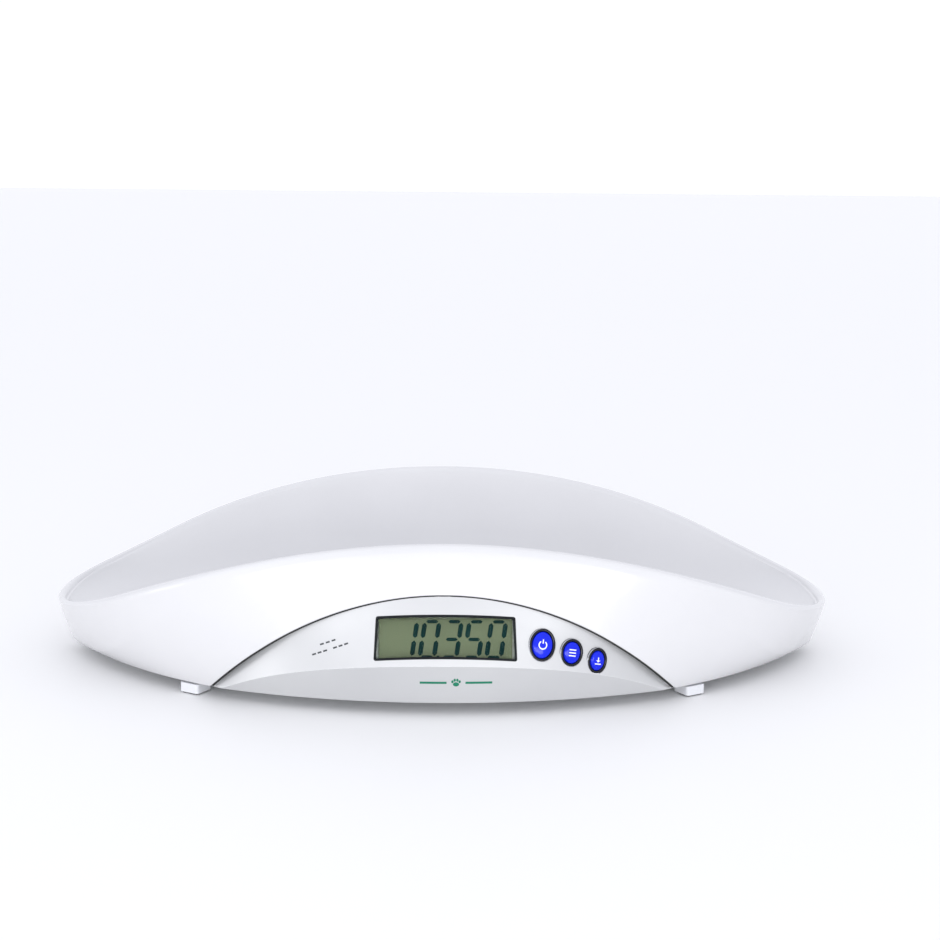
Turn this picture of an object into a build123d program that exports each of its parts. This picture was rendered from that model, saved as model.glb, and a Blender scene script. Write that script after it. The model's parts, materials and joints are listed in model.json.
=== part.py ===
from build123d import *
import os
from math import asin, atan, copysign, cos, pi, radians, sin, sqrt, tan

# Animal weighing scale, in millimetres.
# X runs along the bowl, -Y is the side with the display, +Z is up, the floor is Z = 0.

# ---------------------------------------------------------------- driving dimensions
SKIRT_BOTTOM = 8.0            # height of the skirt's lower edge above the floor
SKIN = 3.0                    # wall thickness of the tray moulding
BOWL_FLOOR = 32.0             # height of the weighing surface
RIM_WIDTH = 8.0               # width of the rim between skirt and bowl
RIM_DEPTH = 13.0              # solid depth of the rim bead
OUTLINE_POINTS = 28           # points of each closed outline
TOP = 118.0                   # above everything, where upward cuts end
CUT_DEPTH = 20.0              # reach of a cut through a thin wall

# Skirt sections: height, half length, centre Y, depth forwards, depth backwards, exponents in X and Y
SKIRT_SECTIONS = (
    (8.0, 268.0, -3.0, 165.0, 150.0, 2.2, 1.17),
    (42.0, 275.0, 3.0, 156.0, 149.0, 2.15, 2.15),
    (75.0, 281.0, 9.0, 154.0, 147.5, 2.5, 2.5),
    (110.0, 287.8, 9.0, 146.0, 152.5, 2.5, 2.5),
)
# Rim line seen from the front: a crown arc, then a reverse arc out to each end
RIM_TOP = 107.3
RIM_CROWN_RADIUS = 554.0
RIM_CROWN_HALF = 215.0
RIM_END_HALF = 292.0
RIM_END_RADIUS = 412.0
RIM_CUT_RISE = 30.0
RIM_CUT_HALF = 250.0

# Lower facet of the skirt: an oblique cone between two level circles
FACET_LOW_RADIUS = 303.6
FACET_HIGH_RADIUS = 574.0
FACET_HIGH = 70.0
FACET_LOW_CENTRE = 142.0
FACET_HIGH_CENTRE = 422.0

# Bowl: the wall curves into the floor as a quarter ellipse, larger across than along
BOWL_ROUND_ALONG = 46.0
BOWL_ROUND_ALONG_HEIGHT = 13.0
BOWL_ROUND_ACROSS = 72.0
BOWL_ROUND_ACROSS_HEIGHT = 75.0
BOWL_POWER_LOW = 2.9
BOWL_POWER_HIGH = 2.5
BOWL_RISES = (0.0, 1.0, 3.5, 7.5, 13.0, 22.0, 34.0, 48.0, 62.0, 76.0, 88.0)

# Front panel
PANEL_WALL = 2.6
PANEL_CREASE_Y = -161.0
PANEL_CREASE_Z = 34.4
PANEL_TOP_Y = -145.0
PANEL_TOP_Z = 75.8
PANEL_ARC_RADIUS = 203.4
PANEL_ARC_CENTRE_Z = -127.6
PANEL_GAP = 0.4
PANEL_HALF = 170.0
PANEL_BACK = -60.0
WINDOW_START = 100.0
WINDOW_DEPTH = 100.0
WINDOW_WASTE = (500.0, 200.0)
PANEL_LOW_RADIUS = 374.0
PANEL_LOW_Y = -153.5
PANEL_RADII = ((4.0, 246.0), (32.0, 268.0), (82.0, 660.0))
PANEL_LEAN = atan((PANEL_TOP_Y - PANEL_CREASE_Y) / (PANEL_TOP_Z - PANEL_CREASE_Z))

# Display, in the flat plane through the panel's middle: X across, Y up the slope
DISPLAY_X = 1.2
DISPLAY_LOW_HALF = 45.6
DISPLAY_HIGH_HALF = 44.4
DISPLAY_LOW = 3.5
DISPLAY_HIGH = 31.8
DISPLAY_ARCH = 1.0
DISPLAY_CORNER = 1.5
DISPLAY_CORNER_LEAST = 0.4
FRAME_WIDTH = 1.6
LENS_DEPTH = 0.7
LENS_THICKNESS = 1.4
GLASS_SIZE = (85.0, 27.0, 2.2)
GLASS_DEPTH = 8.6
DIFFUSER_SIZE = (88.0, 28.5, 3.0)
DIFFUSER_DEPTH = 11.7
GLASS_ROUND = 0.8
BOARD_SIZE = (104.0, 35.0, 1.6)
BOARD_POST_SPACING = (96.5, 27.0)
BOARD_DEPTH = 13.5

# Buttons on the panel: name, place across, height, ring's outer half width and half height
BUTTONS = (
    ("on_zero", 62.7, 45.7, 8.8, 10.7),
    ("mode", 81.8, 39.9, 7.8, 9.1),
    ("memory", 98.6, 33.4, 7.1, 8.5),
)
BUTTON_LEAN = -10.0
RING_WIDTH = 1.9
RING_STANDS = 1.0
RING_TAIL = 3.4
CAP_GAP = 0.35
CAP_STANDS = 1.9
CAP_FLANGE_DEPTH = 4.8
CAP_FLANGE = 1.1
CAP_FLANGE_THICKNESS = 1.0
STEM_RADIUS = 1.6
KEY_BOARD_SIZE = (58.0, 24.0, 1.6)
KEY_POSTS = ((-20.0, -9.4), (17.0, 8.0), (26.5, 2.0))
KEY_BOARD_DEPTH = 16.0
TACT_BODY = (6.2, 6.2, 3.4)
TACT_PLUNGER_RADIUS = 1.7
TACT_HEIGHT = 4.3
TACT_GAP = 1.6

CHIPS = ((-28.0, 2.0, 12.0, 12.0), (0.0, 3.0, 9.0, 7.0), (20.0, -6.0, 6.0, 5.0))
CHIP_HEIGHT = 1.4
BUZZER_PLACE = (34.0, 22.0)
BUZZER_RADIUS = 6.0
BUZZER_HEIGHT = 5.0
BUZZER_HOLE = 1.0
POST_RADIUS = 2.4
BOARD_ROUND = 1.5
KEY_POST_RADIUS = 1.8
BOARD_HOLE = 1.2
BOARD_SCREW_HEAD = 2.0
CONNECTOR_WIDTH = 1.5
CONNECTOR_INSET = 3.0
FRAME_CLEARANCE = 0.05
RING_CLEARANCE = 0.05
CAP_ROUND = 1.3
RING_ROUND = 0.4

# Base cover and its screws
BASE_BOTTOM = 9.5
BASE_THICKNESS = 2.5
BASE_TOP = BASE_BOTTOM + BASE_THICKNESS
BASE_INSET = 4.6
BASE_GAP = 0.6
COVER_SCREWS = ((-215.0, 0.0), (215.0, 0.0), (-120.0, -70.0), (120.0, -70.0), (-120.0, 70.0), (120.0, 70.0))
PANEL_SCREWS = ((-60.0, -142.5), (60.0, -142.5))
BOSS_RADIUS = 4.0
SCREW_RADIUS = 1.4
SCREW_CLEARANCE = 1.75
SCREW_HEAD_RADIUS = 2.8
SCREW_HEAD_HEIGHT = 1.2
SCREW_LENGTH = 12.0
SCREW_HOLE_DEPTH = SCREW_LENGTH - BASE_THICKNESS + 1
PANEL_BOSS_HEIGHT = 12.0

# Feet: under the skirt at the four corners, each square to the skirt's edge
FOOT_X = 164.5
FOOT_FRONT_Y = -105.0
FOOT_REAR_Y = 92.0
FOOT_TURN = 31.0
FOOT_SIZE = 15.0
FOOT_ROUND = 2.0
PAD_HEIGHT = 1.0
PAD_INSET = 1.4
FOOT_TOP = 7.2
FOOT_NECK = 8.0
FOOT_NECK_SHIFT = 1.0
FOOT_NECK_GAP = 1.0
FOOT_NECK_ROUND = 1.0

# Load cells: a plate on a raised seat, its tongue resting on the foot's neck
CELL_SIZE = (22.0, 31.0, 2.5)
CELL_SHIFT = 9.0
CELL_BOTTOM = 14.5
CELL_RIM = 2.5
CELL_SLOT = 1.2
CELL_TONGUE = 10.0
CELL_ROUND = 2.0
GAUGE_PLACES = ((0.0, 10.0), (0.0, 15.0))
GAUGE_SIZE = (6.0, 3.0, 0.2)
CELL_SCREWS = ((-7.5, 22.0), (7.5, 22.0))

# Batteries: four round cells side by side, lying along Y
BATTERY_X = 70.0
BATTERY_Y = 22.0
BATTERY_RADIUS = 7.2
BATTERY_LENGTH = 50.0
BATTERY_PITCH = 14.8
BATTERY_COUNT = 4
BOX_INSIDE = (60.4, 58.0, 15.4)
BOX_WALL = 1.2
SPRING_COIL_RADIUS = 3.2
SPRING_WIRE_RADIUS = 0.35
SPRING_HEIGHT = 4.5
SPRING_GAP = 0.1
SPRING_PITCH = 1.25
PLATE_THICKNESS = 0.4
PLATE_HEIGHT = 11.0
PLATE_SPACING = 3.0
CELL_NIB_RADIUS = 2.7
CELL_NIB_HEIGHT = 1.0
CELL_LIFT = 0.4
DOOR_GAP = 0.4
HINGE_RADIUS = 1.9
PIN_RADIUS = 1.0
PIN_CLEARANCE = 0.05
PIN_LENGTH = 3.0
HINGE_BLOCK = 5.0
DOOR_HINGE_Z = BASE_BOTTOM + HINGE_RADIUS
DOOR_FRONT_Y = BATTERY_Y - BOX_INSIDE[1] / 2
DOOR_HINGE_Y = BATTERY_Y + BOX_INSIDE[1] / 2 + BOX_WALL + HINGE_RADIUS + DOOR_GAP
DOOR_LENGTH = DOOR_HINGE_Y + HINGE_RADIUS + DOOR_GAP - DOOR_FRONT_Y
DOOR_MIDDLE_Y = DOOR_FRONT_Y + DOOR_LENGTH / 2


def lerp(low, high, share):
    """Value at a share of the way from low to high."""
    return low + (high - low) * share


def save(piece, name):
    """Label one finished piece and write it as its own file."""
    piece.label = name
    export_step(piece, f"parts/{name}.step")


def outline(half_length, centre, front, rear, power_x, power_y, height):
    """A closed superellipse outline lying level at a height, with its own front and rear depth."""
    points = []
    for index in range(OUTLINE_POINTS):
        angle = 2 * pi * (index + 0.5) / OUTLINE_POINTS
        along, across = cos(angle), sin(angle)
        depth = rear if across > 0 else front
        x = copysign(half_length * abs(along) ** (2 / power_x), along)
        y = centre + copysign(depth * abs(across) ** (2 / power_y), across)
        points.append((x, y))
    with BuildSketch(Plane.XY.offset(height)) as section:
        with BuildLine():
            Spline(*points, periodic=True)
        make_face()
    return section.sketch


def skirt_size_at(height):
    """Half length, centre and depths of the skirt at a height, between its two nearest sections."""
    for low, high in zip(SKIRT_SECTIONS, SKIRT_SECTIONS[1:]):
        if height <= high[0]:
            break
    share = (height - low[0]) / (high[0] - low[0])
    return [lerp(a, b, share) for a, b in zip(low[1:], high[1:])]


def facet_cutter(inset):
    """The solid that lies inside the lower facet at the front of the skirt."""
    slope_radius = (FACET_HIGH_RADIUS - FACET_LOW_RADIUS) / (FACET_HIGH - SKIRT_BOTTOM)
    slope_centre = (FACET_HIGH_CENTRE - FACET_LOW_CENTRE) / (FACET_HIGH - SKIRT_BOTTOM)
    with BuildPart() as cutter:
        for height in (SKIRT_BOTTOM - 1, TOP):
            rise = height - SKIRT_BOTTOM
            with BuildSketch(Plane.XY.offset(height)):
                with Locations((0, FACET_LOW_CENTRE + slope_centre * rise)):
                    Circle(FACET_LOW_RADIUS + slope_radius * rise - inset)
        loft(ruled=True)
    return cutter.part


def rim_cutter(drop):
    """Everything above the rim line, lowered by a drop."""
    crown_centre = RIM_TOP - drop - RIM_CROWN_RADIUS
    tilt = asin(RIM_CROWN_HALF / RIM_CROWN_RADIUS)
    bend = (RIM_CROWN_HALF, crown_centre + RIM_CROWN_RADIUS * cos(tilt))
    end_centre = (bend[0] + RIM_END_RADIUS * sin(tilt), bend[1] + RIM_END_RADIUS * cos(tilt))
    end_x = RIM_END_HALF
    end_z = end_centre[1] - sqrt(RIM_END_RADIUS ** 2 - (end_centre[0] - end_x) ** 2)
    roof = TOP + RIM_CUT_RISE
    with BuildPart() as cutter:
        with BuildSketch(Plane.XZ):
            with BuildLine():
                ThreePointArc((-bend[0], bend[1]), (0, RIM_TOP - drop), bend)
                RadiusArc(bend, (end_x, end_z), RIM_END_RADIUS)
                RadiusArc((-end_x, end_z), (-bend[0], bend[1]), RIM_END_RADIUS)
                Polyline((end_x, end_z), (end_x, roof), (-end_x, roof), (-end_x, end_z))
            make_face()
        extrude(amount=RIM_CUT_HALF, both=True)
    return cutter.part


def skirt_solid(inset, drop):
    """The filled shape of the housing, drawn in by an inset, up to the lowered rim."""
    with BuildPart() as solid:
        for height, half, centre, front, rear, power_x, power_y in SKIRT_SECTIONS:
            add(outline(half - inset, centre, front - inset, rear - inset, power_x, power_y, height))
        loft()
        add(facet_cutter(inset), mode=Mode.INTERSECT)
        add(rim_cutter(drop), mode=Mode.SUBTRACT)
    return solid.part


def round_inset(rise, width, height):
    """How far a quarter-ellipse fillet stands in from the wall at a rise above the floor."""
    if rise >= height:
        return 0.0
    return width * (1 - sqrt(1 - (1 - rise / height) ** 2))


def bowl_solid(grow):
    """The bowl's hollow from its floor upwards, grown outwards by a wall thickness."""
    with BuildPart() as solid:
        for rise in BOWL_RISES:
            height = BOWL_FLOOR + rise
            half, centre, front, rear = skirt_size_at(height)[:4]
            power = lerp(BOWL_POWER_LOW, BOWL_POWER_HIGH, rise / BOWL_RISES[-1])
            along = RIM_WIDTH - grow + round_inset(rise, BOWL_ROUND_ALONG, BOWL_ROUND_ALONG_HEIGHT)
            across = RIM_WIDTH - grow + round_inset(rise, BOWL_ROUND_ACROSS, BOWL_ROUND_ACROSS_HEIGHT)
            size = (half - along, centre, front - across, rear - across, power, power)
            add(outline(*size, height - grow))
        loft()
    return solid.part


def panel_form(shift):
    """The filled two-facet front, its surface moved back by a shift."""
    with BuildPart() as form:
        for height, radius in PANEL_RADII:
            nose = PANEL_CREASE_Y + tan(PANEL_LEAN) * (height - PANEL_CREASE_Z) + shift
            side = nose + radius - sqrt(radius ** 2 - PANEL_HALF ** 2)
            with BuildSketch(Plane.XY.offset(height)):
                with BuildLine():
                    front = ThreePointArc((-PANEL_HALF, side), (0, nose), (PANEL_HALF, side))
                    Polyline(front @ 1, (PANEL_HALF, PANEL_BACK), (-PANEL_HALF, PANEL_BACK), front @ 0)
                make_face()
        loft()
        undercut = (PANEL_LOW_Y - PANEL_CREASE_Y) / (PANEL_CREASE_Z - SKIRT_BOTTOM)
        with BuildSketch(Plane.XY, mode=Mode.PRIVATE) as low_face:
            with Locations((0, PANEL_LOW_Y + shift + PANEL_LOW_RADIUS + undercut * SKIRT_BOTTOM)):
                Circle(PANEL_LOW_RADIUS)
        extrude(low_face.sketch, amount=TOP, dir=(0, -undercut, 1), mode=Mode.INTERSECT)
    return form.part


def panel_window(gap):
    """The upright arch that bounds the panel, as a prism through the front of the skirt."""
    with BuildPart() as window:
        with BuildSketch(Plane.XZ.offset(WINDOW_START)):
            with Locations((0, PANEL_ARC_CENTRE_Z)):
                Circle(PANEL_ARC_RADIUS + gap)
            with Locations((0, SKIRT_BOTTOM - WINDOW_WASTE[1] / 2)):
                Rectangle(*WINDOW_WASTE, mode=Mode.SUBTRACT)
        extrude(amount=WINDOW_DEPTH)
    return window.part


def panel_skin(outer, inner):
    """A curved sheet that follows the panel, between two depths behind its face."""
    with BuildPart() as skin:
        add(panel_form(outer))
        add(panel_form(inner), mode=Mode.SUBTRACT)
    return skin.part


def panel_plane(x, z):
    """The plane that touches the panel's upper facet at a place across and a height."""
    def face_y(across, height):
        (z0, r0), (z1, r1), (z2, r2) = PANEL_RADII
        radius = r0 * (height - z1) * (height - z2) / ((z0 - z1) * (z0 - z2))
        radius += r1 * (height - z0) * (height - z2) / ((z1 - z0) * (z1 - z2))
        radius += r2 * (height - z0) * (height - z1) / ((z2 - z0) * (z2 - z1))
        nose = PANEL_CREASE_Y + tan(PANEL_LEAN) * (height - PANEL_CREASE_Z)
        return nose + radius - sqrt(radius ** 2 - across ** 2)

    here = face_y(x, z)
    slope_x = face_y(x + 1, z) - here
    slope_z = face_y(x, z + 1) - here
    return Plane(origin=(x, here, z), x_dir=(1, slope_x, 0), z_dir=(slope_x, -1, slope_z))


def button_plane(x, z):
    """The panel's touching plane at a button, turned so that the button leans."""
    return panel_plane(x, z).rotated((0, 0, BUTTON_LEAN))


def key_spot(x, z):
    """Where a button's axis meets the tops of the switches, in the key board's own plane."""
    face = panel_plane(x, z)
    top = KEY_PLANE.offset(-KEY_BOARD_DEPTH + KEY_BOARD_SIZE[2] + TACT_HEIGHT)
    run = (face.origin - top.origin).dot(top.z_dir) / face.z_dir.dot(top.z_dir)
    spot = KEY_PLANE.to_local_coords(face.origin - face.z_dir * run)
    return (spot.X, spot.Y)


def stem_length(face):
    """Length of a button's stem, from its flange to just above its switch."""
    top = KEY_PLANE.offset(-KEY_BOARD_DEPTH + KEY_BOARD_SIZE[2] + TACT_HEIGHT)
    run = (face.origin - top.origin).dot(top.z_dir) / face.z_dir.dot(top.z_dir)
    return run - CAP_FLANGE_DEPTH - TACT_GAP


def outer_edges(builder, face):
    """The edges of a piece that stand furthest out from a plane."""
    return builder.edges().group_by(lambda edge: (edge.center() - face.origin).dot(face.z_dir))[-1]


def display_outline(inset):
    """The display window's outline, with slightly arched upper and lower edges."""
    with BuildSketch(DISPLAY_PLANE) as window:
        with BuildLine():
            edges = []
            for half, up in (
                (DISPLAY_LOW_HALF - inset, DISPLAY_LOW + inset),
                (DISPLAY_HIGH_HALF - inset, DISPLAY_HIGH - inset),
            ):
                middle = (DISPLAY_X, up + DISPLAY_ARCH)
                edges.append(ThreePointArc((DISPLAY_X - half, up), middle, (DISPLAY_X + half, up)))
            Line(edges[0] @ 0, edges[1] @ 0)
            Line(edges[0] @ 1, edges[1] @ 1)
        make_face()
        fillet(window.vertices(), max(DISPLAY_CORNER - inset, DISPLAY_CORNER_LEAST))
    return window.sketch


def foot_plane(side, y, height):
    """A level plane at a foot, with its Y axis pointing in under the scale."""
    turn = radians(FOOT_TURN)
    inward = -1 if y > 0 else 1
    x_dir = (inward * cos(turn), side * sin(turn), 0)
    return Plane(origin=(side * FOOT_X, y, height), x_dir=x_dir, z_dir=(0, 0, 1))


DISPLAY_PLANE = Plane(
    origin=(0, PANEL_CREASE_Y, PANEL_CREASE_Z),
    x_dir=(1, 0, 0),
    z_dir=(0, -cos(PANEL_LEAN), sin(PANEL_LEAN)),
)
DISPLAY_MIDDLE = (DISPLAY_X, (DISPLAY_LOW + DISPLAY_HIGH) / 2)
FEET = (
    ("front_left", -1, FOOT_FRONT_Y),
    ("front_right", 1, FOOT_FRONT_Y),
    ("rear_left", -1, FOOT_REAR_Y),
    ("rear_right", 1, FOOT_REAR_Y),
)
POST_X, POST_Y = BOARD_POST_SPACING[0] / 2, BOARD_POST_SPACING[1] / 2
BOARD_POSTS = [
    (DISPLAY_MIDDLE[0] + across * POST_X, DISPLAY_MIDDLE[1] + up * POST_Y)
    for across in (-1, 1)
    for up in (-1, 1)
]
KEY_PLANE = panel_plane(*BUTTONS[1][1:3])
BATTERY_Z = BASE_TOP + BATTERY_RADIUS + CELL_LIFT
FIRST_X = BATTERY_X - BATTERY_PITCH * (BATTERY_COUNT - 1) / 2
BATTERY_PLACES = [(FIRST_X + BATTERY_PITCH * number, BATTERY_Z) for number in range(BATTERY_COUNT)]
BOX_FRONT = BATTERY_Y - BOX_INSIDE[1] / 2
BOX_REAR = BATTERY_Y + BOX_INSIDE[1] / 2

os.makedirs("parts", exist_ok=True)

# ---------------------------------------------------------------- tray shell
bowl_back = bowl_solid(SKIN)

with BuildPart() as hollow:
    add(skirt_solid(SKIN, RIM_DEPTH))
    add(bowl_back, mode=Mode.SUBTRACT)

with BuildPart() as opening:
    add(panel_window(PANEL_GAP))
    add(bowl_back, mode=Mode.SUBTRACT)

with BuildPart() as tray_shell:
    add(skirt_solid(0, 0))
    add(hollow.part, mode=Mode.SUBTRACT)
    with BuildSketch(Plane.XY.offset(BASE_TOP)):
        with Locations(*COVER_SCREWS):
            Circle(BOSS_RADIUS)
    extrude(amount=BOWL_FLOOR - BASE_TOP)
    with BuildSketch(Plane.XY.offset(BASE_TOP)):
        with Locations(*COVER_SCREWS):
            Circle(SCREW_RADIUS)
    extrude(amount=SCREW_HOLE_DEPTH, mode=Mode.SUBTRACT)
    add(bowl_solid(0), mode=Mode.SUBTRACT)
    add(opening.part, mode=Mode.SUBTRACT)
save(tray_shell.part, "tray_shell")

# ---------------------------------------------------------------- front panel
with BuildPart() as bosses:
    with BuildSketch(Plane.XY.offset(BASE_TOP)):
        with Locations(*PANEL_SCREWS):
            Circle(BOSS_RADIUS)
            with Locations((0, -BOSS_RADIUS)):
                Rectangle(BOSS_RADIUS, 2 * BOSS_RADIUS)
    extrude(amount=PANEL_BOSS_HEIGHT)
    with BuildSketch(Plane.XY.offset(BASE_TOP)):
        with Locations(*PANEL_SCREWS):
            Circle(SCREW_RADIUS)
    extrude(amount=SCREW_HOLE_DEPTH, mode=Mode.SUBTRACT)
    with BuildSketch(DISPLAY_PLANE.offset(-BOARD_DEPTH + BOARD_SIZE[2])):
        with Locations(*BOARD_POSTS):
            Circle(POST_RADIUS)
    extrude(amount=BOARD_DEPTH)
    with BuildSketch(KEY_PLANE.offset(-KEY_BOARD_DEPTH + KEY_BOARD_SIZE[2])):
        with Locations(*KEY_POSTS):
            Circle(KEY_POST_RADIUS)
    extrude(amount=KEY_BOARD_DEPTH)
    add(panel_form(PANEL_WALL / 2), mode=Mode.INTERSECT)

with BuildPart() as control_panel:
    add(panel_skin(0, PANEL_WALL))
    add(panel_window(0), mode=Mode.INTERSECT)
    extrude(display_outline(0), amount=CUT_DEPTH, both=True, mode=Mode.SUBTRACT)
    for _, x, z, half_width, half_height in BUTTONS:
        with BuildSketch(button_plane(x, z)):
            Ellipse(half_width, half_height)
        extrude(amount=CUT_DEPTH / 2, both=True, mode=Mode.SUBTRACT)
    add(bosses.part)
save(control_panel.part, "control_panel")

# ---------------------------------------------------------------- display
with BuildPart() as lcd_frame:
    extrude(display_outline(FRAME_CLEARANCE), amount=CUT_DEPTH, both=True)
    extrude(display_outline(FRAME_WIDTH), amount=CUT_DEPTH, both=True, mode=Mode.SUBTRACT)
    add(panel_skin(FRAME_CLEARANCE, PANEL_WALL), mode=Mode.INTERSECT)
save(lcd_frame.part, "lcd_frame")

with BuildPart() as lcd_lens:
    extrude(display_outline(FRAME_WIDTH + FRAME_CLEARANCE), amount=CUT_DEPTH, both=True)
    add(panel_skin(LENS_DEPTH, LENS_DEPTH + LENS_THICKNESS), mode=Mode.INTERSECT)
save(lcd_lens.part, "lcd_lens")

for name, size, depth in (
    ("lcd_glass", GLASS_SIZE, GLASS_DEPTH),
    ("lcd_diffuser", DIFFUSER_SIZE, DIFFUSER_DEPTH),
):
    with BuildPart() as layer:
        with BuildSketch(DISPLAY_PLANE.offset(-depth)):
            with Locations(DISPLAY_MIDDLE):
                RectangleRounded(size[0], size[1], GLASS_ROUND)
        extrude(amount=size[2])
    save(layer.part, name)

with BuildPart() as lcd_connector:
    with BuildSketch(DISPLAY_PLANE.offset(-BOARD_DEPTH + BOARD_SIZE[2])):
        with Locations((DISPLAY_X, DISPLAY_MIDDLE[1] - GLASS_SIZE[1] / 2 - CONNECTOR_WIDTH)):
            Rectangle(GLASS_SIZE[0] - 2 * CONNECTOR_INSET, CONNECTOR_WIDTH)
    extrude(amount=GLASS_SIZE[2] + DIFFUSER_SIZE[2])
save(lcd_connector.part, "lcd_connector")

# ---------------------------------------------------------------- boards
with BuildPart() as main_board:
    with BuildSketch(DISPLAY_PLANE.offset(-BOARD_DEPTH)):
        with Locations(DISPLAY_MIDDLE):
            RectangleRounded(BOARD_SIZE[0], BOARD_SIZE[1], BOARD_ROUND)
        with Locations(*BOARD_POSTS):
            Circle(BOARD_HOLE, mode=Mode.SUBTRACT)
    extrude(amount=BOARD_SIZE[2])
save(main_board.part, "main_board")

with BuildPart() as board_chips:
    with BuildSketch(DISPLAY_PLANE.offset(-BOARD_DEPTH)):
        for across, up, width, height in CHIPS:
            with Locations((DISPLAY_MIDDLE[0] + across, DISPLAY_MIDDLE[1] + up)):
                Rectangle(width, height)
    extrude(amount=-CHIP_HEIGHT)
save(board_chips.part, "board_chips")

with BuildPart() as buzzer:
    with BuildSketch(DISPLAY_PLANE.offset(-BOARD_DEPTH)):
        with Locations(BUZZER_PLACE):
            Circle(BUZZER_RADIUS)
    extrude(amount=-BUZZER_HEIGHT)
    with BuildSketch(DISPLAY_PLANE.offset(-BOARD_DEPTH - BUZZER_HEIGHT)):
        with Locations(BUZZER_PLACE):
            Circle(BUZZER_HOLE)
    extrude(amount=BUZZER_HOLE, mode=Mode.SUBTRACT)
save(buzzer.part, "buzzer")

with BuildPart() as key_board:
    with BuildSketch(KEY_PLANE.offset(-KEY_BOARD_DEPTH)):
        RectangleRounded(KEY_BOARD_SIZE[0], KEY_BOARD_SIZE[1], BOARD_ROUND)
        with Locations(*KEY_POSTS):
            Circle(BOARD_HOLE, mode=Mode.SUBTRACT)
    extrude(amount=KEY_BOARD_SIZE[2])
save(key_board.part, "key_board")

with BuildPart() as board_screws:
    for plane, places, depth in (
        (DISPLAY_PLANE, BOARD_POSTS, BOARD_DEPTH),
        (KEY_PLANE, KEY_POSTS, KEY_BOARD_DEPTH),
    ):
        with BuildSketch(plane.offset(-depth)):
            with Locations(*places):
                Circle(BOARD_HOLE)
        extrude(amount=BOARD_SIZE[2])
        with BuildSketch(plane.offset(-depth)):
            with Locations(*places):
                Circle(BOARD_SCREW_HEAD)
        extrude(amount=-BOARD_SCREW_HEAD)
save(board_screws.part, "board_screws")

# ---------------------------------------------------------------- buttons
with BuildPart() as tact_switches:
    for _, x, z, _, _ in BUTTONS:
        spot = key_spot(x, z)
        with BuildSketch(KEY_PLANE.offset(-KEY_BOARD_DEPTH + KEY_BOARD_SIZE[2])):
            with Locations(spot):
                Rectangle(TACT_BODY[0], TACT_BODY[1])
        extrude(amount=TACT_BODY[2])
        with BuildSketch(KEY_PLANE.offset(-KEY_BOARD_DEPTH + KEY_BOARD_SIZE[2])):
            with Locations(spot):
                Circle(TACT_PLUNGER_RADIUS)
        extrude(amount=TACT_HEIGHT)
save(tact_switches.part, "tact_switches")

for name, x, z, half_width, half_height in BUTTONS:
    face = button_plane(x, z)
    with BuildPart() as ring:
        with BuildSketch(face.offset(-RING_TAIL)):
            Ellipse(half_width - RING_CLEARANCE, half_height - RING_CLEARANCE)
            Ellipse(half_width - RING_WIDTH, half_height - RING_WIDTH, mode=Mode.SUBTRACT)
        extrude(amount=RING_TAIL + RING_STANDS)
        fillet(outer_edges(ring, face), RING_ROUND)
    save(ring.part, f"ring_{name}")

    inner_width = half_width - RING_WIDTH - CAP_GAP
    inner_height = half_height - RING_WIDTH - CAP_GAP
    with BuildPart() as cap:
        with BuildSketch(face.offset(-CAP_FLANGE_DEPTH)):
            Ellipse(inner_width + CAP_FLANGE, inner_height + CAP_FLANGE)
        extrude(amount=CAP_FLANGE_THICKNESS)
        with BuildSketch(face.offset(-CAP_FLANGE_DEPTH)):
            Ellipse(inner_width, inner_height)
        extrude(amount=CAP_FLANGE_DEPTH + CAP_STANDS)
        fillet(outer_edges(cap, face), CAP_ROUND)
        with BuildSketch(face.offset(-CAP_FLANGE_DEPTH)):
            Circle(STEM_RADIUS)
        extrude(amount=-stem_length(face))
    save(cap.part, f"button_{name}")

# ---------------------------------------------------------------- base cover
with BuildPart() as front_waste:
    with BuildSketch(Plane.XY.offset(BASE_BOTTOM - 1)):
        with Locations((0, PANEL_CREASE_Y)):
            Rectangle(2 * PANEL_HALF, 2 * WINDOW_START)
    extrude(amount=BASE_THICKNESS + 2)
    add(panel_form(PANEL_WALL + BASE_GAP), mode=Mode.SUBTRACT)

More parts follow.
